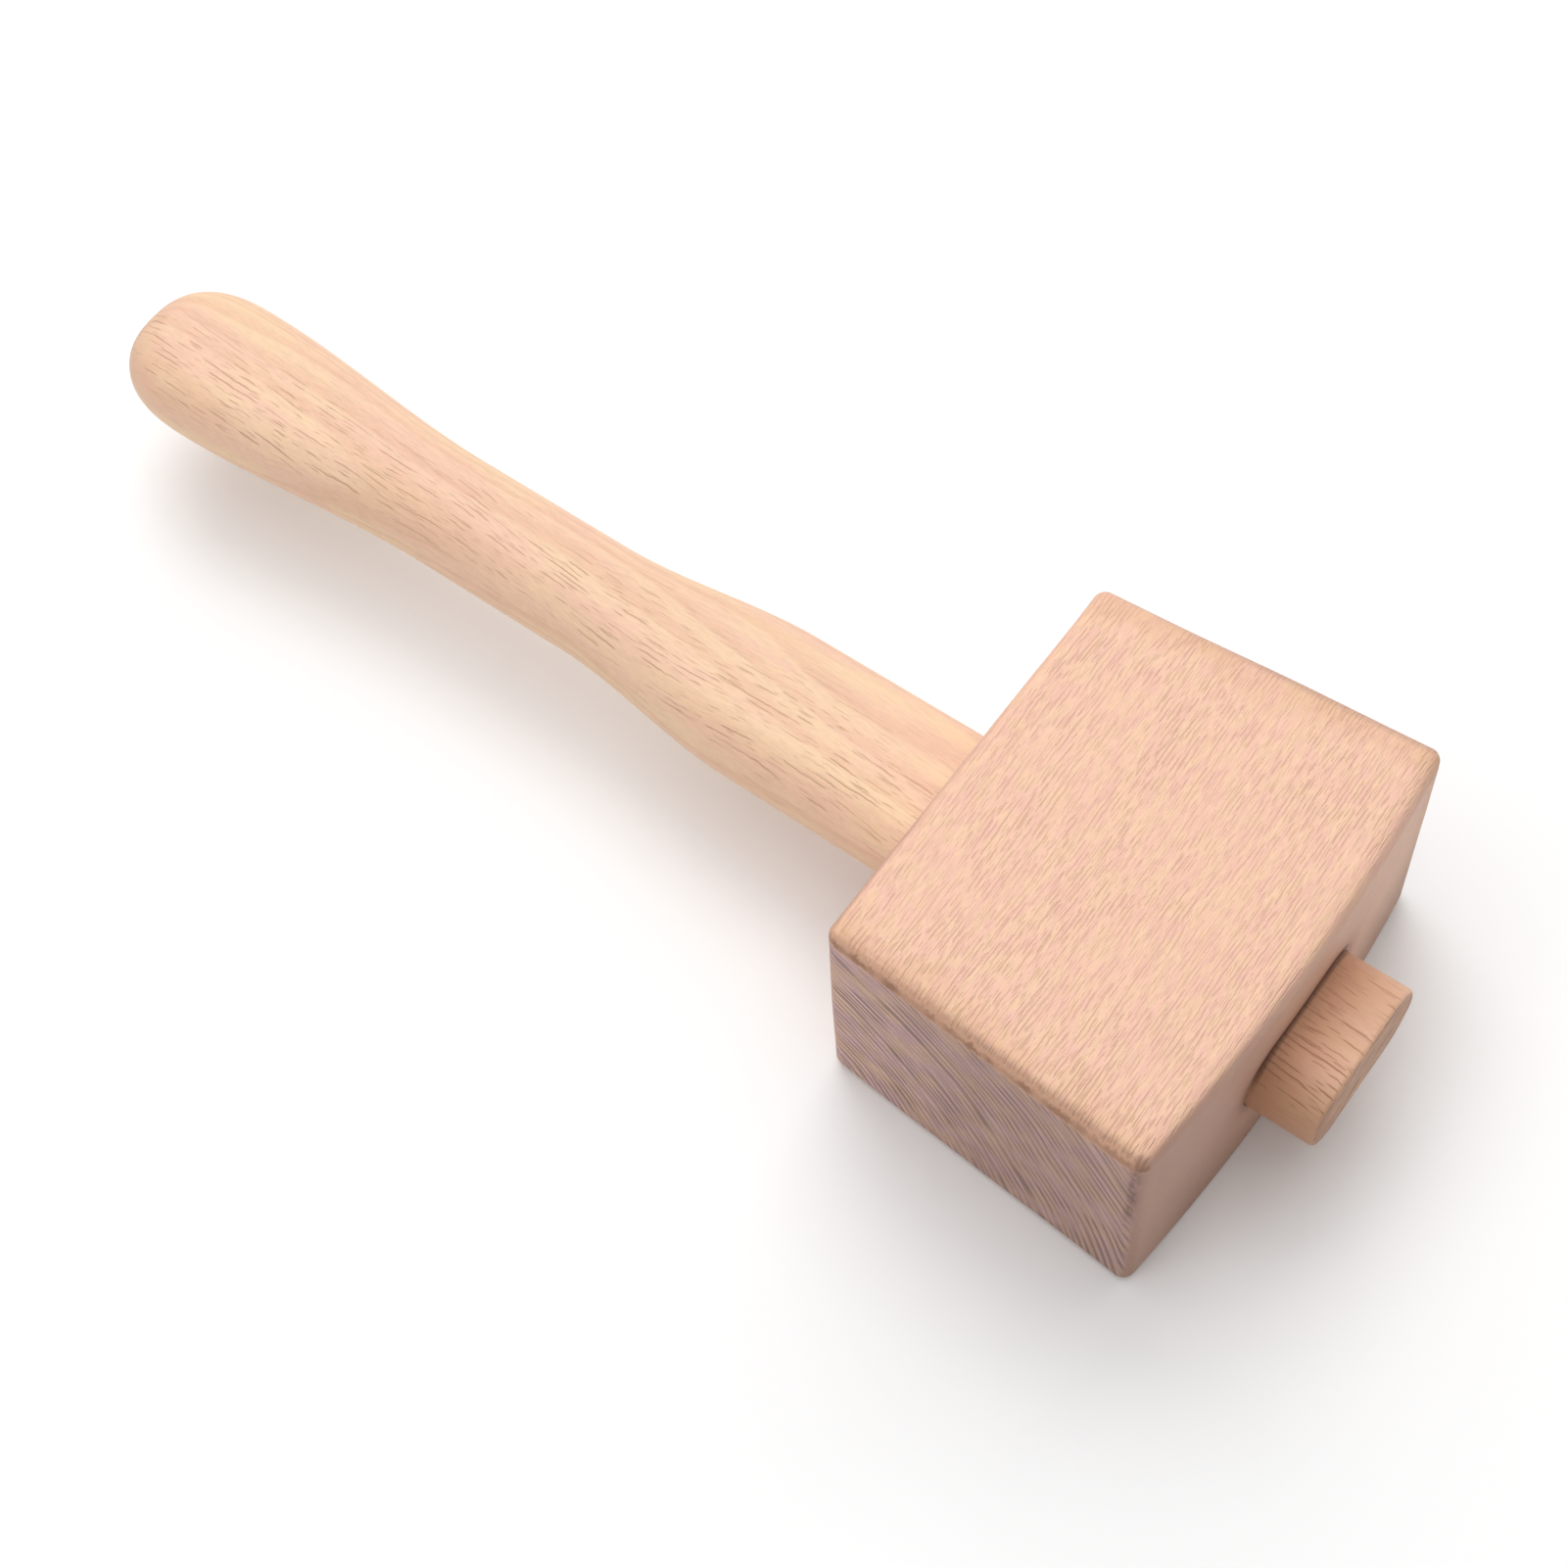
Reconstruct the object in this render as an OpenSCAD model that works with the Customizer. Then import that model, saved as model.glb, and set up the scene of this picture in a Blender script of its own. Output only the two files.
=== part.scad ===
// Wooden mallet: a solid beech head on a through-tenoned beech handle.
// The mallet lies on one wide side of its head. The origin is the centre of that side,
// +X runs along the handle towards the stub, +Y across to a striking face, +Z up.

/* [Head] */
// Length over the striking faces, at the crowned side
head_length = 95; // [85:1:115]
// Width of the head, along the handle
head_width = 70; // [60:1:90]
// Thickness of the head
head_thick = 53; // [45:1:70]
// Lean of each striking face, in degrees
face_splay = 4.5; // [1:0.5:6]
// How far the crowned side falls from its middle to its ends
crown_rise = 2.7; // [1:0.1:5]
// Radius of the rounding along the edges of both wide sides
edge_r = 2.4; // [1:0.1:3]
// Radius of the four upright corners, more than edge_r
corner_r = 3.4; // [3.2:0.1:8]

/* [Tenon] */
// Thickness of the handle, which is cut from one board
board_t = 17.2; // [14:0.2:20]
// Width of the tenon where it enters the head
tenon_w_in = 32.6; // [32.2:0.2:33]
// Width of the tenon at its far end; it widens, so the head can't fly off
tenon_w_out = 33.4; // [33.2:0.2:38]
// Length of the stub that stands out of the crowned side
stub_length = 13.2; // [5:0.2:25]
// Radius of the rounding around the end of the stub
stub_edge_r = 1; // [0.4:0.1:2]

/* [Grip] */
// Length of the handle from the head to its rounded end
grip_length = 198.6; // [185:0.2:240]
// Width of the bulb at the end of the grip, less than the tenon so that it passes the slot
bulb_w = 31.4; // [26:0.2:32]
// Length of the rounding that closes the bulb
bulb_length = 20; // [16:0.5:30]
// Width of the neck
neck_w = 23.6; // [20:0.2:26]
// Width of the shoulder, where the neck has run out
shoulder_w = 32.2; // [28:0.2:32.2]
// Length over which the bulb narrows to the neck
bulb_run = 58.6; // [40:0.2:64]
// Length of the neck
neck_length = 35; // [10:1:40]
// Length over which the neck widens to the shoulder
shoulder_run = 42; // [20:1:44]

/* [Hidden] */

wood_head = [0.94, 0.76, 0.66];
wood_handle = [0.97, 0.81, 0.68];

// Heights
mid_z = head_thick / 2;

// Plan of the head. Its corners are circles of corner_r, and the crown is one large arc.
crown_r = (pow(head_length / 2, 2) + pow(crown_rise, 2)) / (2 * crown_rise);
crown_x = head_width / 2 - crown_r;
front_y = head_length / 2 - corner_r;
front_x = crown_x + sqrt(pow(crown_r - corner_r, 2) - pow(front_y, 2));
back_x = -head_width / 2 + corner_r;
back_y = front_y - (front_x - back_x) * tan(face_splay);
corners = [[back_x, -back_y], [front_x, -front_y], [front_x, front_y], [back_x, back_y]];
crown_angle = asin(front_y / (crown_r - corner_r));

// Stations along the handle, from the rounded end of the grip to the end of the stub
end_x = -head_width / 2 - grip_length;
bulb_x = end_x + bulb_length;
neck_near_bulb_x = bulb_x + bulb_run;
neck_near_head_x = neck_near_bulb_x + neck_length;
shoulder_x = neck_near_head_x + shoulder_run;
entry_x = -head_width / 2;
stub_x = head_width / 2 + stub_length;
// Exponent of the superellipse that closes the bulb
bulb_power = 2.5;
// Half the width left along the crest where the bulb closes
crest_y = 0.3;

// Steps round an upright corner of the head, and along half of its crown
CORNER_STEPS = 6;
CROWN_STEPS = 12;
// Steps up the rounding of a wide side's edge
ROUND_STEPS = 6;
// Steps round each half of a section across the handle
ARC_STEPS = 14;
// Stations in the bulb, in each widening of the grip, and in the rounding of the stub's end
CAP_STEPS = 12;
BLEND_STEPS = 10;
EDGE_STEPS = 4;

// A smooth rise from 0 to 1
function ease(t) = t * t * (3 - 2 * t);

function blend(x, x0, x1, v0, v1) = v0 + (v1 - v0) * ease((x - x0) / (x1 - x0));

function line(x, x0, x1, v0, v1) = v0 + (v1 - v0) * (x - x0) / (x1 - x0);

// Faces of a closed skin over rings of n points each, with a flat cap at both ends
function skin(rings, n) = concat(
    [[for (i = [0 : n - 1]) i]],
    [for (s = [0 : rings - 2]) for (i = [0 : n - 1])
        let (a = s * n + i, b = s * n + (i + 1) % n)
        [a, a + n, b + n, b]],
    [[for (i = [n - 1 : -1 : 0]) (rings - 1) * n + i]]
);

function tenon_w_at(x) = line(x, entry_x, stub_x, tenon_w_in, tenon_w_out);

// Width of the handle at x, past the bulb
function width_at(x) =
    x < neck_near_bulb_x ? blend(x, bulb_x, neck_near_bulb_x, bulb_w, neck_w) :
    x < neck_near_head_x ? neck_w :
    x < shoulder_x ? blend(x, neck_near_head_x, shoulder_x, neck_w, shoulder_w) :
    x < entry_x ? line(x, shoulder_x, entry_x, shoulder_w, tenon_w_in) :
    tenon_w_at(x);

// How far the section shrinks in the rounding at the end of the stub
function stub_inset(x) =
    let (d = x - (stub_x - stub_edge_r))
    d > 0 ? stub_edge_r - sqrt(max(0, pow(stub_edge_r, 2) - d * d)) : 0;

// Angles from -reach to reach, which gather towards both ends as lean goes from 0 to 1
function spread(reach, lean) =
    [for (i = [0 : ARC_STEPS])
        let (t = 2 * i / ARC_STEPS - 1)
        reach * (t + lean * (sin(90 * t) - t))];

// A section across the handle: two half rounds of radius r joined by flats
function stadium(x, width, r) =
    let (flat = width / 2 - r, half = spread(90, 0))
    concat(
        [for (a = half) [x, flat + r * cos(a), mid_z + r * sin(a)]],
        [for (a = half) [x, -flat - r * cos(a), mid_z - r * sin(a)]]
    );

// Half the width of the bulb at x, at angle a round its edge: the outline, drawn inwards
function bulb_y(x, a) =
    let (
        inset = board_t / 2 * (1 - cos(a)),
        u = min(1, (bulb_x - x) / (bulb_length - inset))
    )
    max(crest_y, (bulb_w / 2 - inset) * pow(1 - pow(u, bulb_power), 1 / bulb_power));

// A section across the bulb, whose round edge runs on around the end of the grip
function bulb_section(x) =
    let (
        r = board_t / 2,
        d = x - end_x,
        half = spread(d < r ? acos(1 - d / r) : 90, (bulb_x - x) / bulb_length)
    )
    concat(
        [for (a = half) [x, bulb_y(x, a), mid_z + r * sin(a)]],
        [for (a = half) [x, -bulb_y(x, a), mid_z - r * sin(a)]]
    );

function section(x) =
    x < bulb_x ? bulb_section(x) :
    stadium(x, width_at(x) - 2 * stub_inset(x), board_t / 2 - stub_inset(x));

function steps(x0, x1, n) = [for (i = [1 : n]) x0 + (x1 - x0) * i / n];

// Stations where the handle gets a section
stations = concat(
    [for (i = [1 : CAP_STEPS]) bulb_x - bulb_length * cos(90 * i / CAP_STEPS)],
    steps(bulb_x, neck_near_bulb_x, BLEND_STEPS),
    [neck_near_head_x],
    steps(neck_near_head_x, shoulder_x, BLEND_STEPS),
    [entry_x, stub_x - stub_edge_r],
    [for (i = [1 : EDGE_STEPS]) stub_x - stub_edge_r * (1 - sin(90 * i / EDGE_STEPS))]
);

// The arc of radius r round one corner of the plan, from angle a0 to a1
function corner_arc(centre, r, a0, a1) =
    [for (i = [0 : CORNER_STEPS])
        let (a = a0 + (a1 - a0) * i / CORNER_STEPS)
        centre + r * [cos(a), sin(a)]];

// Plan of the head, drawn inwards by inset
function plan(inset) =
    let (r = corner_r - inset, face_a = 90 + face_splay)
    concat(
        corner_arc(corners[0], r, -180, -face_a),
        corner_arc(corners[1], r, -face_a, -crown_angle),
        [for (i = [1 : CROWN_STEPS - 1])
            let (a = crown_angle * (2 * i / CROWN_STEPS - 1))
            [crown_x, 0] + (crown_r - inset) * [cos(a), sin(a)]],
        corner_arc(corners[2], r, crown_angle, face_a),
        corner_arc(corners[3], r, face_a, 180)
    );

// One level of the head, where a is the angle round its top or bottom edge
function level(a, z) = [for (p = plan(edge_r * (1 - cos(a)))) [p[0], p[1], z]];

// The head without its mortise, with every edge and corner rounded
module rounded_block() {
    downward = [for (i = [ROUND_STEPS : -1 : 0]) 90 * i / ROUND_STEPS];
    upward = [for (i = [0 : ROUND_STEPS]) 90 * i / ROUND_STEPS];
    levels = concat(
        [for (a = downward) level(a, edge_r * (1 - sin(a)))],
        [for (a = upward) level(a, head_thick - edge_r * (1 - sin(a)))]
    );
    polyhedron(points = [for (l = levels) each l], faces = skin(len(levels), len(levels[0])));
}

// The slot for the tenon, which follows the taper of the tenon
module mortise() {
    // How far the cutter runs past both sides of the head
    past = 2;
    ends = [entry_x - past, head_width / 2 + past];
    rings = [for (x = ends) stadium(x, tenon_w_at(x), board_t / 2)];
    polyhedron(points = concat(rings[0], rings[1]), faces = skin(2, len(rings[0])));
}

module head() {
    color(wood_head)
        difference() {
            rounded_block();
            mortise();
        }
}

module handle() {
    n = 2 * (ARC_STEPS + 1);
    last = len(stations) - 1;
    tip = [end_x, 0, mid_z];
    points = concat([tip], [for (x = stations) each section(x)]);
    color(wood_handle)
        polyhedron(
            points = points,
            faces = concat(
                [for (i = [0 : n - 1]) [0, 1 + i, 1 + (i + 1) % n]],
                [for (s = [0 : last - 1]) for (i = [0 : n - 1])
                    let (a = 1 + s * n + i, b = 1 + s * n + (i + 1) % n)
                    [a, a + n, b + n, b]],
                [[for (i = [n - 1 : -1 : 0]) 1 + last * n + i]]
            )
        );
}

head();
handle();
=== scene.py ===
"""A beech mallet: a block head on a waisted handle whose tenon passes through the head.

Everything is in metres in the row frame: +X along the handle towards the stub, +Y out of a
striking face, +Z up, with the head lying on one wide side at z = 0.
"""

import math

import bmesh
import bpy
import numpy as np
from mathutils import Matrix, Vector


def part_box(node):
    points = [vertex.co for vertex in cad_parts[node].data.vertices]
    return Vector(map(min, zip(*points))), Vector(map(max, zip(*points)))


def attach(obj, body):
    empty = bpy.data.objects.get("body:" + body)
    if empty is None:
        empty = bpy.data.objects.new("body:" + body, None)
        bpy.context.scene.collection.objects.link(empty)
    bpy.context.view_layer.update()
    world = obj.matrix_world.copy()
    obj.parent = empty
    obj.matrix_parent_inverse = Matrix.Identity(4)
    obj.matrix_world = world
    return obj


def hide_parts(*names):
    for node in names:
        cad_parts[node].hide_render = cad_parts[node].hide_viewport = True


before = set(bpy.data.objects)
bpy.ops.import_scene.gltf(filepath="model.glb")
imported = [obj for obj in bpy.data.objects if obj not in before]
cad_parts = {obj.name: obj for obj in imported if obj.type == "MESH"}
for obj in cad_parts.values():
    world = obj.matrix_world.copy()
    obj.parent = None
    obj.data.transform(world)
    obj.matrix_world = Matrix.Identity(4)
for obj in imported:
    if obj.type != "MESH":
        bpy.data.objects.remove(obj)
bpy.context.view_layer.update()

MM = 0.001

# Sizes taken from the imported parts
head_low, head_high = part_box("head")
handle_low, handle_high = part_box("handle")
HEAD_WIDTH = head_high.x - head_low.x
HEAD_LENGTH = head_high.y - head_low.y
HEAD_THICK = head_high.z - head_low.z
MID_Z = (head_low.z + head_high.z) / 2
BOARD_T = handle_high.z - handle_low.z
END_X = handle_low.x
STUB_X = handle_high.x
TENON_W_OUT = handle_high.y - handle_low.y
ENTRY_X = head_low.x

# Shape of the head
FACE_SPLAY = math.radians(4.5)
CROWN_RISE = 2.7 * MM
EDGE_R = 2.5 * MM

# What hand sanding took off the head's edges, on average, and the size and seed of its waves
SANDED_OFF = 0.12 * MM
SANDED_WAVE = 24 * MM
SANDED_SEED = 3

# Shape of the handle
TENON_W_IN = 32.6 * MM
SHOULDER_W = 32.2 * MM
NECK_W = 23.6 * MM
BULB_W = 31.4 * MM
BULB_LENGTH = 20 * MM
BULB_POWER = 2.5
BULB_X = END_X + BULB_LENGTH
NECK_NEAR_BULB_X = BULB_X + 58.6 * MM
NECK_NEAR_HEAD_X = NECK_NEAR_BULB_X + 35 * MM
SHOULDER_X = NECK_NEAR_HEAD_X + 42 * MM
STUB_EDGE_R = 1.0 * MM
THINNEST = 0.1 * MM

# How far the mortise stands off the tenon, and how its mouths flare
MORTISE_GAP = 0.12 * MM
MOUTH_EASE = 0.4 * MM
MOUTH_SLOPE = 0.6

# How finely the meshes are divided: the head's flats and roundings, the handle along its length
# and round its end, the edge and the end of the stub, and a section's half rounds and flats
HEAD_QUADS = (56, 76, 42)
ROUNDING_QUADS = 5
HANDLE_RING_STEP = 1.5 * MM
BULB_RINGS = 44
STUB_EDGE_RINGS = 6
STUB_END_SHARES = (0.93, 0.8, 0.6, 0.4, 0.2)
ARC_STEPS = 32
FLAT_STEPS = 6


# ---------------------------------------------------------------- meshes

def mesh_object(name, verts, faces, smooth=True):
    mesh = bpy.data.meshes.new(name)
    mesh.from_pydata([tuple(v) for v in verts], [], faces)
    mesh.update()
    obj = bpy.data.objects.new(name, mesh)
    bpy.context.scene.collection.objects.link(obj)
    for poly in mesh.polygons:
        poly.use_smooth = smooth
    return obj


def lattice_axis(half, flat_quads):
    """Places along one axis of a block: even over its flat, and by angle in its rounding."""
    core = half - EDGE_R
    flat = np.linspace(-core, core, flat_quads + 1)
    lip = core + EDGE_R * np.tan(np.linspace(0, math.pi / 4, ROUNDING_QUADS + 1)[1:])
    return np.concatenate([-lip[::-1], flat, lip])


def block_skin(axes):
    """Quads over the surface of a block whose lattice lines are given along each axis."""
    count = [len(a) for a in axes]
    index, verts, faces = {}, [], []

    def vertex(key):
        if key not in index:
            index[key] = len(verts)
            verts.append([axes[k][key[k]] for k in range(3)])
        return index[key]

    for fixed in range(3):
        a, b = (fixed + 1) % 3, (fixed + 2) % 3
        for side in (0, count[fixed] - 1):
            for i in range(count[a] - 1):
                for j in range(count[b] - 1):
                    quad = []
                    for di, dj in ((0, 0), (1, 0), (1, 1), (0, 1)):
                        key = [0, 0, 0]
                        key[fixed], key[a], key[b] = side, i + di, j + dj
                        quad.append(vertex(tuple(key)))
                    faces.append(quad if side else quad[::-1])
    return np.array(verts), faces


def smooth_noise(points, size, seed):
    """A soft, seeded noise, mostly from -1 to 1, made from a few waves of about the given size."""
    rng = np.random.default_rng(seed)
    total = np.zeros(len(points))
    waves = 9
    softer = 1.4
    for _ in range(waves):
        direction = rng.normal(size=3)
        direction /= np.linalg.norm(direction)
        stretch = rng.uniform(0.6, 1.7)
        start = rng.uniform(0, 2 * math.pi)
        total += np.sin(points @ direction * 2 * math.pi * stretch / size + start)
    return total / waves ** 0.5 / softer


def head_surface():
    """Every vertex and quad of the block."""
    half = np.array([HEAD_WIDTH, HEAD_LENGTH, HEAD_THICK]) / 2
    verts, faces = block_skin([lattice_axis(h, n) for h, n in zip(half, HEAD_QUADS)])
    core = half - EDGE_R
    inner = np.clip(verts, -core, core)
    out = verts - inner
    out /= np.linalg.norm(out, axis=1)[:, None]
    outside = (np.abs(verts) > core + 1e-9).sum(axis=1)
    on_edge = np.where(outside >= 2, 1.0, 0.0)

    # The plan: the striking faces splay, and the side that the stub comes out of is crowned
    crown_r = ((HEAD_LENGTH / 2) ** 2 + CROWN_RISE ** 2) / (2 * CROWN_RISE)
    crown_x = half[0] - crown_r
    back_x = -core[0]
    front_corner_x = crown_x + math.sqrt((crown_r - EDGE_R) ** 2 - core[1] ** 2)
    share_x = (inner[:, 0] + core[0]) / (2 * core[0])
    share_y = inner[:, 1] / core[1]
    x = inner[:, 0].copy()
    # x and y depend on each other, and a few rounds settle them
    for _ in range(4):
        y = share_y * (core[1] - (front_corner_x - x) * math.tan(FACE_SPLAY))
        front = crown_x + np.sqrt((crown_r - EDGE_R) ** 2 - y ** 2)
        x = back_x + share_x * (front - back_x)
    inner = np.column_stack([x, y, inner[:, 2]])

    # Hand-sanded edges are never quite even
    radius = EDGE_R - on_edge * SANDED_OFF * (1 + smooth_noise(inner, SANDED_WAVE, SANDED_SEED))
    placed = inner + out * radius[:, None]
    placed[:, 2] += MID_Z
    return placed, faces


def ease(t):
    """Slow at both ends of 0 to 1."""
    return t * t * (3 - 2 * t)


def ramp(x, x0, x1, v0, v1, shape=lambda t: t):
    """Goes from v0 to v1 while x goes from x0 to x1."""
    return v0 + (v1 - v0) * shape((x - x0) / (x1 - x0))


def tenon_width(x):
    return ramp(x, ENTRY_X, STUB_X, TENON_W_IN, TENON_W_OUT)


def handle_width(x):
    """Width of the handle at x, past the bulb: neck, shoulder, then the widening tenon."""
    if x < NECK_NEAR_BULB_X:
        return ramp(x, BULB_X, NECK_NEAR_BULB_X, BULB_W, NECK_W, ease)
    if x < NECK_NEAR_HEAD_X:
        return NECK_W
    if x < SHOULDER_X:
        return ramp(x, NECK_NEAR_HEAD_X, SHOULDER_X, NECK_W, SHOULDER_W, ease)
    if x < ENTRY_X:
        return ramp(x, SHOULDER_X, ENTRY_X, SHOULDER_W, TENON_W_IN)
    return tenon_width(x)


def stub_inset(x):
    """How far the rounding of the stub's edge takes its outline in at x."""
    d = x - (STUB_X - STUB_EDGE_R)
    return STUB_EDGE_R - math.sqrt(max(0.0, STUB_EDGE_R ** 2 - d * d)) if d > 0 else 0.0


def spread(reach, lean):
    """Angles from -reach to reach, which gather towards both ends as lean goes from 0 to 1."""
    angles = []
    for i in range(ARC_STEPS + 1):
        t = 2 * i / ARC_STEPS - 1
        angles.append(reach * (t + lean * (math.sin(math.pi / 2 * t) - t)))
    return angles


def closed_ring(x, side):
    """A ring from one side's points (y, dz), its mirror image, and steps over both flats."""
    ring = []
    for sign in (1, -1):
        ring += [(x, sign * y, MID_Z + sign * dz) for y, dz in side]
        y_top, dz_top = side[-1]
        for i in range(1, FLAT_STEPS):
            ring.append((x, sign * y_top * (1 - 2 * i / FLAT_STEPS), MID_Z + sign * dz_top))
    return ring


def stadium(x, width, r):
    """A section across the handle: two half rounds of radius r joined by flats."""
    flat = max(0.0, width / 2 - r)
    angles = spread(math.pi / 2, 0)
    return closed_ring(x, [(flat + r * math.cos(a), r * math.sin(a)) for a in angles])


def bulb_ring(x):
    """A section across the bulb, whose round edge runs on around the end of the grip."""
    r = BOARD_T / 2
    d = x - END_X
    reach = math.acos(1 - d / r) if d < r else math.pi / 2
    side = []
    for a in spread(reach, (BULB_X - x) / BULB_LENGTH):
        inset = r * (1 - math.cos(a))
        u = min(1.0, (BULB_X - x) / (BULB_LENGTH - inset))
        y = (BULB_W / 2 - inset) * (1 - u ** BULB_POWER) ** (1 / BULB_POWER)
        side.append((max(THINNEST, y), r * math.sin(a)))
    return closed_ring(x, side)


def skin(rings):
    """Quads between rings of the same count, one after the other."""
    n = len(rings[0])
    faces = []
    for s in range(len(rings) - 1):
        for i in range(n):
            j = (i + 1) % n
            faces.append([s * n + i, (s + 1) * n + i, (s + 1) * n + j, s * n + j][::-1])
    return faces


def handle_mesh():
    quarter = math.pi / 2
    rings = [bulb_ring(BULB_X - BULB_LENGTH * math.cos(quarter * i / BULB_RINGS))
             for i in range(1, BULB_RINGS)]
    shaft = list(np.arange(BULB_X, STUB_X - STUB_EDGE_R, HANDLE_RING_STEP))
    shaft += [STUB_X - STUB_EDGE_R * (1 - math.sin(quarter * i / STUB_EDGE_RINGS))
              for i in range(STUB_EDGE_RINGS + 1)]
    for x in shaft:
        inset = stub_inset(x)
        rings.append(stadium(x, handle_width(x) - 2 * inset, BOARD_T / 2 - inset))
    # The end of the stub closes with smaller and smaller copies of its outline
    rim = rings[-1]
    for share in STUB_END_SHARES:
        rings.append([(x, y * share, MID_Z + (z - MID_Z) * share) for x, y, z in rim])
    n = len(rings[0])
    verts = [v for ring in rings for v in ring]
    faces = skin(rings)
    tip = len(verts)
    verts.append((END_X, 0, MID_Z))
    middle = len(verts)
    verts.append((STUB_X, 0, MID_Z))
    last = (len(rings) - 1) * n
    for i in range(n):
        j = (i + 1) % n
        faces.append([tip, i, j])
        faces.append([middle, last + j, last + i])
    return verts, faces


def mortise_cutter():
    """The slot, standing a hair off the tenon and flaring at both mouths."""
    past = 1.0 * MM
    reach = MOUTH_EASE + past
    exit_x = head_high.x
    deeper = 0.1 * MM
    mouths = ((ENTRY_X - past, reach), (ENTRY_X + MOUTH_EASE, 0.0),
              (exit_x - MOUTH_EASE - deeper, 0.0), (exit_x + past, reach))
    rings = []
    for x, flare in mouths:
        grow = MORTISE_GAP + flare * MOUTH_SLOPE
        rings.append(stadium(x, tenon_width(x) + 2 * grow, BOARD_T / 2 + grow))
    n = len(rings[0])
    verts = [v for ring in rings for v in ring]
    faces = skin(rings)
    faces.append(list(range(n)))
    faces.append([(len(rings) - 1) * n + i for i in range(n)][::-1])
    return mesh_object("mortise_cutter", verts, faces)


def fix_normals(obj):
    bm = bmesh.new()
    bm.from_mesh(obj.data)
    bmesh.ops.recalc_face_normals(bm, faces=bm.faces)
    bm.to_mesh(obj.data)
    bm.free()


def apply_modifiers(obj):
    """Replaces the mesh by what its modifiers make of it."""
    graph = bpy.context.evaluated_depsgraph_get()
    mesh = bpy.data.meshes.new_from_object(obj.evaluated_get(graph))
    obj.modifiers.clear()
    obj.data = mesh


def build_head():
    sharp_from = math.radians(35)
    verts, faces = head_surface()
    head = mesh_object("head_block", verts, faces)
    fix_normals(head)
    cutter = mortise_cutter()
    fix_normals(cutter)
    cut = head.modifiers.new("mortise", "BOOLEAN")
    cut.operation = "DIFFERENCE"
    cut.solver = "EXACT"
    cut.object = cutter
    apply_modifiers(head)
    bpy.data.objects.remove(cutter)
    for poly in head.data.polygons:
        poly.use_smooth = True
    head.data.set_sharp_from_angle(angle=sharp_from)
    return head


def build_handle():
    sharp_from = math.radians(50)
    verts, faces = handle_mesh()
    handle = mesh_object("handle_with_tenon", verts, faces)
    fix_normals(handle)
    handle.data.set_sharp_from_angle(angle=sharp_from)
    return handle


# ---------------------------------------------------------------- materials

# The colour sockets of a Mix node, which also has sockets for numbers and vectors
MIX_A, MIX_B, MIX_RESULT = 6, 7, 2


class Graph:
    """Short calls that add and link shader nodes. A value is a number or another node's output."""

    def __init__(self, name):
        self.material = bpy.data.materials.new(name)
        self.material.use_nodes = True
        self.tree = self.material.node_tree
        self.tree.nodes.clear()

    def add(self, kind, values=None, **settings):
        node = self.tree.nodes.new(kind)
        for key, value in settings.items():
            setattr(node, key, value)
        for key, value in (values or {}).items():
            self.put(node.inputs[key], value)
        return node

    def put(self, socket, value):
        if isinstance(value, bpy.types.NodeSocket):
            self.tree.links.new(value, socket)
        else:
            socket.default_value = value

    def math(self, operation, *values):
        node = self.add("ShaderNodeMath", operation=operation)
        for socket, value in zip(node.inputs, values):
            self.put(socket, value)
        return node.outputs[0]

    def times(self, a, b):
        return self.math("MULTIPLY", a, b)

    def plus(self, a, b):
        return self.math("ADD", a, b)

    def minus(self, a, b):
        return self.math("SUBTRACT", a, b)

    def size(self, a):
        return self.math("ABSOLUTE", a)

    def times_plus(self, a, b, c):
        return self.math("MULTIPLY_ADD", a, b, c)

    def length(self, a, b):
        return self.math("SQRT", self.plus(self.times(a, a), self.times(b, b)))

    def step(self, value, low, high, out_low=0.0, out_high=1.0):
        """Goes smoothly from out_low to out_high while value goes from low to high."""
        node = self.add("ShaderNodeMapRange", {
            "Value": value, "From Min": low, "From Max": high, "To Min": out_low, "To Max": out_high},
            interpolation_type="SMOOTHSTEP", clamp=True)
        return node.outputs["Result"]

    def noise(self, x, y, z, detail=2.0, roughness=0.5):
        """Noise from 0 to 1. Each coordinate is a (value, its scale) pair, or a number as a seed."""
        place = [self.times(*part) if isinstance(part, tuple) else part for part in (x, y, z)]
        point = self.add("ShaderNodeCombineXYZ", dict(zip("XYZ", place))).outputs[0]
        node = self.add("ShaderNodeTexNoise", {
            "Vector": point, "Scale": 1.0, "Detail": detail, "Roughness": roughness})
        return node.outputs["Fac"]

    def mix(self, factor, a, b, blend="MIX"):
        node = self.add("ShaderNodeMix", data_type="RGBA", blend_type=blend)
        self.put(node.inputs["Factor"], factor)
        for index, value in ((MIX_A, a), (MIX_B, b)):
            is_output = isinstance(value, bpy.types.NodeSocket)
            self.put(node.inputs[index], value if is_output else (*value, 1.0))
        return node.outputs[MIX_RESULT]

    def shade(self, colour, amount):
        """A colour times a grey amount."""
        grey = self.add("ShaderNodeCombineColor", {"Red": amount, "Green": amount, "Blue": amount})
        return self.mix(1.0, colour, grey.outputs[0], "MULTIPLY")

    def surface(self, values):
        """Ends the graph with a shader, and gives the finished material."""
        shader = self.add("ShaderNodeBsdfPrincipled", values)
        self.add("ShaderNodeOutputMaterial", {"Surface": shader.outputs[0]})
        return self.material


# In the wood's graphs places and distances are in millimetres, and noise scales per millimetre
MID_DEPTH = MID_Z / MM
HALF_WIDTH = HEAD_WIDTH / 2 / MM
HALF_LENGTH = HEAD_LENGTH / 2 / MM
TOP = HEAD_THICK / MM


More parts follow.
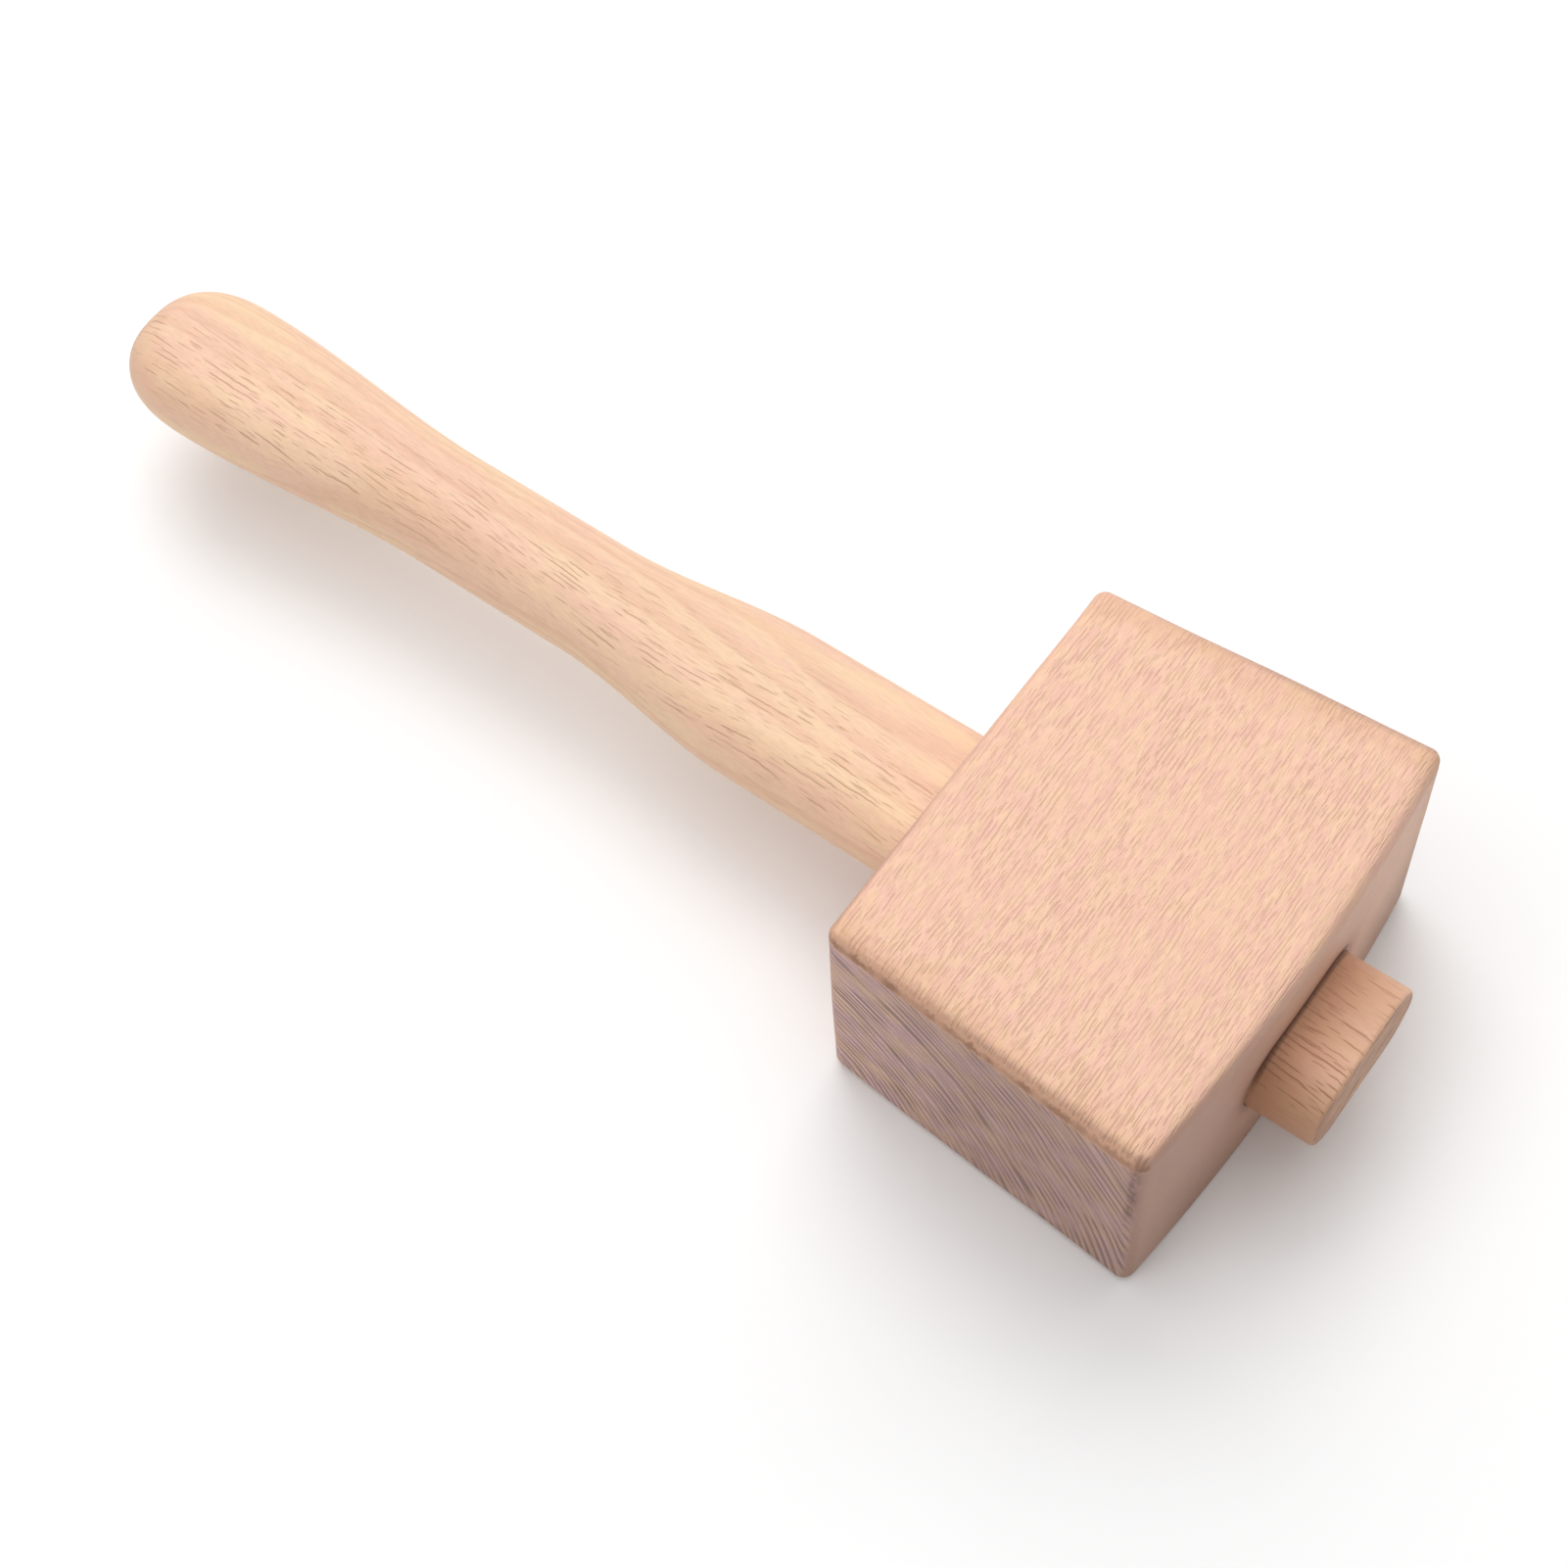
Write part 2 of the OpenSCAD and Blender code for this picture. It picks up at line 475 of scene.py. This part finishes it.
def strokes(g, along, across, pitch, length, width, cover, seed):
    """Short dark strokes: a fine, wavy line every pitch, broken up along its length."""
    bend_turns = 2.0
    kink_reach = 0.42
    unlike = 7.77
    fade_in = 0.14
    bend = g.noise((across, 0.12), (along, 0.05), seed, detail=1.0)
    kink = g.noise((across, 0.8), (along, 0.5), seed)
    turns = g.times_plus(across, 1 / pitch, g.times(bend, bend_turns))
    turns = g.plus(turns, g.times(kink, kink_reach / pitch))
    line = g.size(g.minus(g.math("FRACT", turns), 0.5))
    # Each line is broken up in places of its own
    number = g.math("FLOOR", turns)
    broken = g.noise((number, unlike), (along, 1 / length), seed, detail=1.0, roughness=0.4)
    present = g.step(broken, cover, cover + fade_in)
    return g.times(g.step(line, 0.0, g.times(present, width / pitch), 1.0, 0.0), present)


def growth_rings(g, along, across, depth, pith, spacing):
    """The rings counted from the pith, how far a point is through its ring, and its angle."""
    ring_a = g.minus(across, pith[0])
    ring_d = g.minus(depth, pith[1])
    radius = g.length(ring_a, ring_d)
    uneven = g.noise((radius, 0.16), (along, 0.006), 0.0)
    ripple = g.noise((ring_a, 0.2), (ring_d, 0.2), 2.0, detail=1.0)
    turns = g.times_plus(radius, 1 / spacing, g.times(uneven, 3.0))
    turns = g.plus(turns, g.times(ripple, 0.12))
    return turns, g.math("FRACT", turns), g.math("ARCTAN2", ring_d, ring_a)


def ray_flecks(g, place, along, across, depth, facing_top, settings):
    """Ray flecks: on the wide sides they follow the width, on the narrow ones the depth."""
    pitch, length, width, cover = settings["fleck"]
    thick = g.noise((along, 0.05), (across, 0.09), 6.0, detail=1.0)
    thick = g.plus(g.step(thick, 0.35, 0.65, 0.6, 0.95), settings["crowd"](g, place))
    coarse = strokes(g, along, across, pitch, length, width, cover, 0.0)
    fine = strokes(g, along, across, pitch * 0.63, length * 0.6, width * 0.8, cover + 0.03, 4.0)
    wide = g.math("MAXIMUM", coarse, g.times(fine, 0.6))
    narrow = strokes(g, along, depth, pitch * 1.3, length, width, cover + 0.04, 9.0)
    on_wide = g.step(facing_top, 0.35, 0.75)
    on_narrow = g.minus(settings["narrow"], g.times(on_wide, settings["narrow"]))
    return g.times_plus(g.times(wide, thick), on_wide, g.times(narrow, on_narrow))


def end_grain(g, across, depth, rings, facing_end, colours, strength):
    """The colour and relief of end grain: soft rings, fine lines between them, and pores."""
    turns, phase, angle = rings
    fine = g.noise((turns, 3.1), (angle, 9.0), 0.0, roughness=0.6)
    pores = g.noise((across, 2.2), (depth, 2.2), 0.0, detail=3.0, roughness=0.75)
    blotch = g.noise((across, 0.16), (depth, 0.16), 5.0, detail=3.0)
    colour = g.mix(g.step(blotch, 0.38, 0.62), colours["end_cool"], colours["end_warm"])
    colour = g.shade(colour, g.step(fine, 0.3, 0.7, 0.78, 1.18))
    colour = g.shade(colour, g.step(pores, 0.25, 0.75, 0.88, 1.1))
    # The rings fade in and out, and are weak over the rounded edges
    fade = g.noise((across, 0.09), (depth, 0.12), 8.0, detail=1.0)
    clear = g.times(g.step(fade, 0.35, 0.6, 0.3, 1.0), g.step(facing_end, 0.8, 0.97, 0.25, 1.0))
    ring = g.times(g.step(phase, 0.35, 0.7), g.step(phase, 0.8, 1.0, 1.0, 0.0))
    ring = g.times(ring, clear)
    colour = g.shade(colour, g.minus(1.0 + 0.3 * strength, g.times(ring, strength)))
    return colour, g.times_plus(ring, -0.3, g.times(g.plus(pores, fine), 0.6))


def beech(name, grain, colours, pith, settings):
    """Beech whose grain runs along one axis of the row frame.

    grain is the axis index, pith the centre of the growth rings (across, depth) in millimetres.
    The settings are:
    slope, drift    how far the grain runs across the piece per millimetre, and its wandering
    ring, late      the spacing of the growth rings, and how strong their late wood is
    patch           scales of the patches of colour, along the grain and across it
    fibre           how strong the fibres are
    fleck           pitch, length and width of the flecks, and the share of noise they leave out
    fleck_strength, narrow    how strong they are, and their share of that on narrow sides
    end_rings       how strong the rings on end grain are
    burnish, relief strength of the brown band round the ends, and of the bump
    wear, crowd     functions that add stains, torn edges and painted shade to the colour, and that make flecks stronger in places
    """
    g = Graph(name)
    coordinates = g.add("ShaderNodeTexCoord")
    split = g.add("ShaderNodeSeparateXYZ", {"Vector": coordinates.outputs["Object"]})
    place = [g.times(split.outputs[k], 1 / MM) for k in range(3)]
    normal = g.add("ShaderNodeSeparateXYZ", {"Vector": coordinates.outputs["Normal"]})
    facing_end = g.size(normal.outputs[grain])
    facing_top = g.size(normal.outputs[2])

    # The grain wanders a little as it runs along the piece
    along = place[grain]
    across = g.times_plus(along, settings["slope"], place[1 - grain])
    depth = g.minus(place[2], MID_DEPTH)
    wander = g.noise((along, 0.02), (across, 0.05), (depth, 0.05), detail=0.0)
    wander = g.times(g.minus(wander, 0.5), settings["drift"])
    across = g.plus(across, wander)
    depth = g.plus(depth, wander)

    # Colour wanders between a pink and a yellow tint in soft patches drawn out along the grain
    patch_along, patch_across = settings["patch"]
    patch = g.noise((along, patch_along), (across, patch_across), (depth, patch_across),
                    detail=3.0, roughness=0.65)
    colour = g.mix(g.step(patch, 0.36, 0.64), colours["pink"], colours["yellow"])

    # The late wood of each ring is darker
    rings = growth_rings(g, along, across, depth, pith, settings["ring"])
    phase = rings[1]
    late = g.times(g.step(phase, 0.25, 0.8), g.step(phase, 0.86, 1.0, 1.0, 0.0))
    colour = g.mix(g.times(late, settings["late"]), colour, colours["late"])

    # Fibres: thin streaks along the grain
    fibre = g.noise((along, 0.3), (across, 2.4), (depth, 2.4), detail=3.0, roughness=0.7)
    streaks = g.step(fibre, 0.25, 0.75, 1.0 - settings["fibre"], 1.0 + settings["fibre"] * 0.6)
    colour = g.shade(colour, streaks)

    flecks = ray_flecks(g, place, along, across, depth, facing_top, settings)
    colour = g.mix(g.times(flecks, settings["fleck_strength"]), colour, colours["fleck"])

    # The fibres cut short round the end's edges have burnished to a ragged brown band
    uneven = g.minus(fibre, 0.5)
    torn = g.times_plus(uneven, 1.4, facing_end)
    band = g.times(g.step(torn, 0.15, 0.6), g.step(facing_end, 0.7, 0.95, 1.0, 0.0))
    band = g.times(band, g.step(place[1], -12.0, 12.0, 1.0, 0.3))
    colour = g.mix(g.times(band, settings["burnish"]), colour, colours["burnish"])

    # The end grain is darker, with a ragged border
    end, end_height = end_grain(g, across, depth, rings, facing_end, colours, settings["end_rings"])
    is_end = g.step(g.plus(facing_end, g.times(uneven, 0.45)), 0.62, 0.84)
    colour = g.mix(is_end, colour, end)
    # Stains, torn edges and painted shade, from the piece's own function
    colour = settings["wear_and_shade"](g, colour, place, g.size(normal.outputs[0]))

    # Fine relief: the flecks are sunk a little, the fibres stand a little
    height = g.minus(g.times(fibre, 0.45), g.times(flecks, 0.9))
    height = g.times_plus(height, g.minus(1.0, is_end), g.times(end_height, is_end))
    bump = g.add("ShaderNodeBump", {
        "Strength": settings["relief"], "Distance": RELIEF_DEPTH, "Height": height})
    rough = g.times_plus(is_end, 0.12, g.step(fibre, 0.2, 0.8, 0.46, 0.6))
    return g.surface({"Base Color": colour, "Roughness": rough, "Normal": bump.outputs[0],
                      "Specular IOR Level": 0.35})


def tenon_distance(g, place):
    """How far a point stands off the outline of the tenon's outer end."""
    flat = (TENON_W_OUT - BOARD_T) / 2 / MM
    y = g.math("MAXIMUM", g.minus(g.size(place[1]), flat), 0.0)
    z = g.minus(place[2], MID_DEPTH)
    return g.minus(g.length(y, z), BOARD_T / 2 / MM)


def head_wear_and_shade(g, colour, place, facing_x):
    """The head's stains, torn edges and painted shade. Its used end is the one towards -Y."""
    x, y, z = place
    splay = g.times(g.minus(HALF_WIDTH, x), math.tan(FACE_SPLAY))
    from_end = g.minus(g.minus(HALF_LENGTH, g.size(y)), splay)

    def used_half(share):
        return g.step(y, -1.0, 1.0, 1.0, share)

    def stub_half(share):
        return g.step(x, -1.0, 1.0, share, 1.0)

    # The wood is yellower in blots near the ends, and soiled over their edges
    blot = g.noise((x, 0.07), (y, 0.15), 3.0, detail=3.0)
    yellow = g.step(g.times_plus(blot, 16.0, from_end), 8.0, 17.0, 0.5, 0.0)
    yellow = g.times(yellow, g.step(from_end, 0.5, 2.0))
    colour = g.mix(yellow, colour, WEAR_AND_SHADE_COLOURS["yellow"])
    soiled = g.times(g.step(from_end, 0.5, 2.5, 1.0, 0.0), g.step(x, -HALF_WIDTH, 5.0, 0.0, 0.42))
    colour = g.mix(soiled, colour, WEAR_AND_SHADE_COLOURS["soiled"])

    # The narrow sides get painted reddish shade round the slot and painted shade that deepens towards
    # -Y, and are dark low down
    off = tenon_distance(g, place)
    on_side = g.step(facing_x, 0.35, 0.85)
    # Painted shade: a reddish darkening round the mouth of the slot, where the tenon meets the head
    painted_slot_shade = g.times(g.step(off, 0.5, 6.5, 0.4, 0.0), on_side)
    colour = g.mix(painted_slot_shade, colour, WEAR_AND_SHADE_COLOURS["slot"])
    # Painted shade: the narrow sides are darkened, most towards -Y, where light falls less on them
    side = g.times(on_side, g.step(y, -HALF_LENGTH, HALF_LENGTH * 0.7, 0.75, 0.1))
    colour = g.mix(side, colour, WEAR_AND_SHADE_COLOURS["side"])
    low = g.times(g.step(z, 3.0, 36.0, 0.6, 0.0), g.step(y, -44.0, -28.0, 0.25, 1.0))
    low = g.times(low, g.times(on_side, stub_half(0.25)))
    colour = g.mix(low, colour, WEAR_AND_SHADE_COLOURS["low"])

    # Painted shadow of the gap over the tenon: a dark line, deepest along its flat
    near_face = g.step(g.size(x), HALF_WIDTH - 4.5, HALF_WIDTH - 3.0)
    over = g.times(g.step(z, MID_DEPTH + 5.0, MID_DEPTH + 8.0, 0.25, 1.0), stub_half(0.4))
    line = g.times(g.step(off, 0.9, 2.2, 0.95, 0.0), g.times(over, near_face))
    colour = g.mix(line, colour, WEAR_AND_SHADE_COLOURS["line"])

    # The fibres cut short along the upper edges of the ends have torn and burnished brown
    below = g.minus(TOP, z)
    tear = g.noise((x, 0.9), (below, 0.5), 4.0, detail=3.0, roughness=0.7)
    clump = g.noise((x, 0.16), 0.0, 5.0)
    torn = g.times_plus(g.minus(tear, 0.5), 3.0, below)
    at_edge = g.times(g.step(from_end, 0.9, 2.3, 1.0, 0.0), used_half(0.3))
    warm = g.times(g.step(torn, 0.2, 1.0), g.step(torn, 2.7, 4.0, 0.85, 0.0))
    colour = g.mix(g.times(warm, at_edge), colour, WEAR_AND_SHADE_COLOURS["torn"])
    dark = g.times(g.step(torn, 1.0, 1.8), g.step(torn, 2.3, 3.3, 0.75, 0.0))
    dark = g.times(dark, g.step(clump, 0.4, 0.6, 0.3, 1.0))
    colour = g.mix(g.times(dark, at_edge), colour, WEAR_AND_SHADE_COLOURS["torn_dark"])

    # A dark, broken streak down the used corner
    bend = g.noise(9.0, (z, 0.11), 1.0)
    off_streak = g.minus(x, g.times_plus(bend, 2.4, HALF_WIDTH - 5.4))
    broken = g.noise((x, 1.6), (z, 0.3), 6.0)
    streak = g.times(g.step(g.size(off_streak), 0.1, 1.3, 0.65, 0.0),
                     g.step(broken, 0.3, 0.65, 0.35, 1.0))
    streak = g.times(streak, g.step(z, 27.0, 33.0))
    streak = g.times(streak, g.times(g.step(from_end, 1.4, 3.0, 1.0, 0.0), used_half(0.0)))
    return g.mix(streak, colour, WEAR_AND_SHADE_COLOURS["streak"])


def head_crowd(g, place):
    """The flecks are stronger close to the used end."""
    return g.step(place[1], -HALF_LENGTH, 16.0 - HALF_LENGTH, 0.5, 0.0)


def handle_wear_and_shade(g, colour, place, facing_x):
    """The stub is browner towards the head, partly burn and partly painted shade, and browner along
    one edge, with a dark painted shadow where it leaves the head.
    """
    x, y, z = place
    # Browner towards the head: partly burn, partly painted shade cast by the head
    brown = g.times(g.step(x, HALF_WIDTH - 6.0, HALF_WIDTH),
                    g.step(x, HALF_WIDTH, STUB_X / MM, 0.9, 0.35))
    brown = g.times(brown, g.step(facing_x, 0.5, 0.9, 1.0, 0.0))
    colour = g.mix(brown, colour, WEAR_AND_SHADE_COLOURS["stub"])
    edge = g.times(g.step(x, HALF_WIDTH - 2.0, HALF_WIDTH),
                   g.step(y, -TENON_W_OUT / 2 / MM, -4.0, 0.5, 0.0))
    colour = g.mix(edge, colour, WEAR_AND_SHADE_COLOURS["stub_edge"])
    # Painted shadow: a dark line on the stub where it leaves the head
    seam_shadow = g.times(g.step(x, HALF_WIDTH - 0.8, HALF_WIDTH - 0.3),
                   g.step(x, HALF_WIDTH + 0.1, HALF_WIDTH + 0.9, 0.7, 0.0))
    seam_shadow = g.times(seam_shadow, g.step(z, MID_DEPTH + 2.0, MID_DEPTH + 7.0, 0.2, 1.0))
    return g.mix(seam_shadow, colour, WEAR_AND_SHADE_COLOURS["seam_shadow"])


def handle_crowd(g, place):
    """The flecks gather on one half of the board, and they are strong on the stub."""
    half = g.step(place[1], -4.0, 9.0, 0.35, -0.6)
    return g.plus(half, g.step(place[0], 30.0, 40.0, 0.0, 1.3))


RELIEF_DEPTH = 0.2 * MM

# Colours of stains, torn edges and burn, and of painted shade: slot, side, line and seam stand in for
# shade and shadow, and stub is partly burn and partly shade
WEAR_AND_SHADE_COLOURS = {
    "yellow": (0.68, 0.40, 0.235), "soiled": (0.27, 0.165, 0.13),
    "slot": (0.50, 0.22, 0.13), "side": (0.42, 0.235, 0.185), "low": (0.30, 0.155, 0.095),
    "line": (0.10, 0.03, 0.015), "torn": (0.62, 0.35, 0.225), "torn_dark": (0.25, 0.115, 0.065),
    "streak": (0.17, 0.085, 0.065), "stub": (0.62, 0.31, 0.18), "stub_edge": (0.36, 0.17, 0.09),
    "seam_shadow": (0.17, 0.065, 0.035)}

# Where the pith of each piece's tree would lie, across it and in depth
HEAD_PITH = (-55.0, -48.0)
HANDLE_PITH = (14.0, -40.0)

HEAD_COLOURS = {
    "pink": (0.815, 0.49, 0.38), "yellow": (0.83, 0.54, 0.365), "late": (0.72, 0.42, 0.29),
    "fleck": (0.47, 0.225, 0.12), "burnish": (0.46, 0.225, 0.12),
    "end_cool": (0.475, 0.30, 0.29), "end_warm": (0.505, 0.325, 0.245)}

HEAD_SETTINGS = {
    "slope": 0.02, "drift": 1.8, "ring": 1.75, "late": 0.12, "fibre": 0.10, "patch": (0.18, 0.45),
    "fleck": (0.85, 4.2, 0.2, 0.42), "fleck_strength": 0.205, "narrow": 0.2, "burnish": 0.5,
    "relief": 0.65, "end_rings": 0.72, "wear_and_shade": head_wear_and_shade, "crowd": head_crowd}

HANDLE_COLOURS = {
    "pink": (0.80, 0.515, 0.375), "yellow": (0.82, 0.575, 0.375), "late": (0.70, 0.41, 0.27),
    "fleck": (0.42, 0.20, 0.11), "burnish": (0.60, 0.38, 0.25),
    "end_cool": (0.52, 0.31, 0.22), "end_warm": (0.57, 0.335, 0.215)}

HANDLE_SETTINGS = {
    "slope": 0.045, "drift": 5.0, "ring": 2.4, "late": 0.4, "fibre": 0.09, "patch": (0.025, 0.15),
    "fleck": (1.2, 8.0, 0.21, 0.47), "fleck_strength": 0.46, "narrow": 0.5, "burnish": 0.4,
    "relief": 0.6, "end_rings": 0.3, "wear_and_shade": handle_wear_and_shade, "crowd": handle_crowd}


def head_beech():
    return beech("beech_head", 1, HEAD_COLOURS, HEAD_PITH, HEAD_SETTINGS)


def handle_beech():
    return beech("beech_handle", 0, HANDLE_COLOURS, HANDLE_PITH, HANDLE_SETTINGS)


# ---------------------------------------------------------------- the stage

FLOOR_HALF = 3.0
PAPER = {"Base Color": (0.93, 0.93, 0.93, 1.0), "Roughness": 0.9}

# Each lamp's name, place, size in metres and power in watts. All of them face LIT_POINT.
LIT_POINT = (-0.05, 0.0, 0.03)
LAMPS = (("key", (-0.6, 0.7, 1.05), 1.3, 9.0),
         ("top", (-0.25, 0.0, 1.5), 2.0, 15.0),
         ("front", (-0.5, -1.1, 0.55), 1.0, 3.0),
         ("graze", (0.4, 1.3, 0.4), 0.6, 2.5))
WORLD_COLOUR = (1.0, 1.0, 1.0, 1.0)
WORLD_STRENGTH = 0.3


def build_floor():
    half = FLOOR_HALF
    corners = [(-half, -half, 0), (half, -half, 0), (half, half, 0), (-half, half, 0)]
    floor = mesh_object("floor", corners, [[0, 1, 2, 3]], smooth=False)
    floor.data.materials.append(Graph("floor_paper").surface(PAPER))


def area_light(name, place, size, power):
    data = bpy.data.lights.new(name, "AREA")
    data.shape = "DISK"
    data.size = size
    data.energy = power
    lamp = bpy.data.objects.new(name, data)
    lamp.location = place
    lamp.rotation_euler = (Vector(LIT_POINT) - Vector(place)).to_track_quat("-Z", "Y").to_euler()
    bpy.context.scene.collection.objects.link(lamp)


def build_light():
    for lamp in LAMPS:
        area_light(*lamp)
    world = bpy.data.worlds.new("studio")
    world.use_nodes = True
    background = world.node_tree.nodes["Background"]
    background.inputs["Color"].default_value = WORLD_COLOUR
    background.inputs["Strength"].default_value = WORLD_STRENGTH
    bpy.context.scene.world = world


def build_camera():
    """The photograph's view of the mallet, found by fitting a camera to its edges and outline."""
    place = Vector((0.1075, -0.2147, 0.5006))
    aim = Vector((-0.0667, -0.0119, 0.0265))
    roll = math.radians(-4.97)
    data = bpy.data.cameras.new("camera")
    data.lens = 68.51
    data.sensor_width = 36.0
    data.clip_start = 0.01
    camera = bpy.data.objects.new("camera", data)
    turn = (aim - place).to_track_quat("-Z", "Y").to_matrix().to_4x4()
    camera.matrix_world = Matrix.Translation(place) @ turn @ Matrix.Rotation(roll, 4, "Z")
    bpy.context.scene.collection.objects.link(camera)
    bpy.context.scene.camera = camera


def colour_management():
    view = bpy.context.scene.view_settings
    view.view_transform = "Standard"
    view.look = "None"
    view.exposure = 0.0
    view.gamma = 1.0


# ---------------------------------------------------------------- the mallet

build_camera()
build_floor()
build_light()
colour_management()

# The cut can leave the head an empty material slot
head_block = build_head()
head_block.data.materials.clear()
head_block.data.materials.append(head_beech())
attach(head_block, "root")
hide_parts("head")

handle = build_handle()
handle.data.materials.append(handle_beech())
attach(handle, "root")
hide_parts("handle")

bpy.context.view_layer.update()
